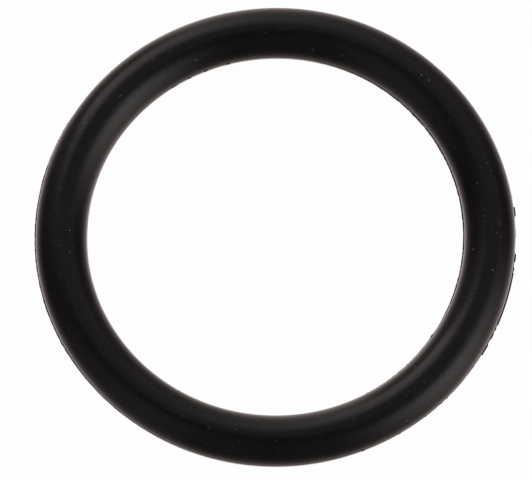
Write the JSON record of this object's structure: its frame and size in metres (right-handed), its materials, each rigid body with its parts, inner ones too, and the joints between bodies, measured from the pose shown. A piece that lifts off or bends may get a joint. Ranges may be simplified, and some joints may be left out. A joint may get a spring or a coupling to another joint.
{
  "type": "silicone o-ring",
  "caption": "Round-section black silicone rubber sealing ring with a fine moulding line round its inside and outside edges.",
  "frame": {"origin": "centre of the ring, on its axis, halfway up its section in the plane of the moulding line", "axes": "+Z along the ring's axis; the ring lies flat in the XY plane and is the same all round"},
  "size_m": [0.0282, 0.0282, 0.003],
  "materials": {
    "rubber": "satin black moulded rubber with a matte skin"
  },
  "bodies": {
    "root": {"o_ring": "rubber"}
  },
  "joints": []
}
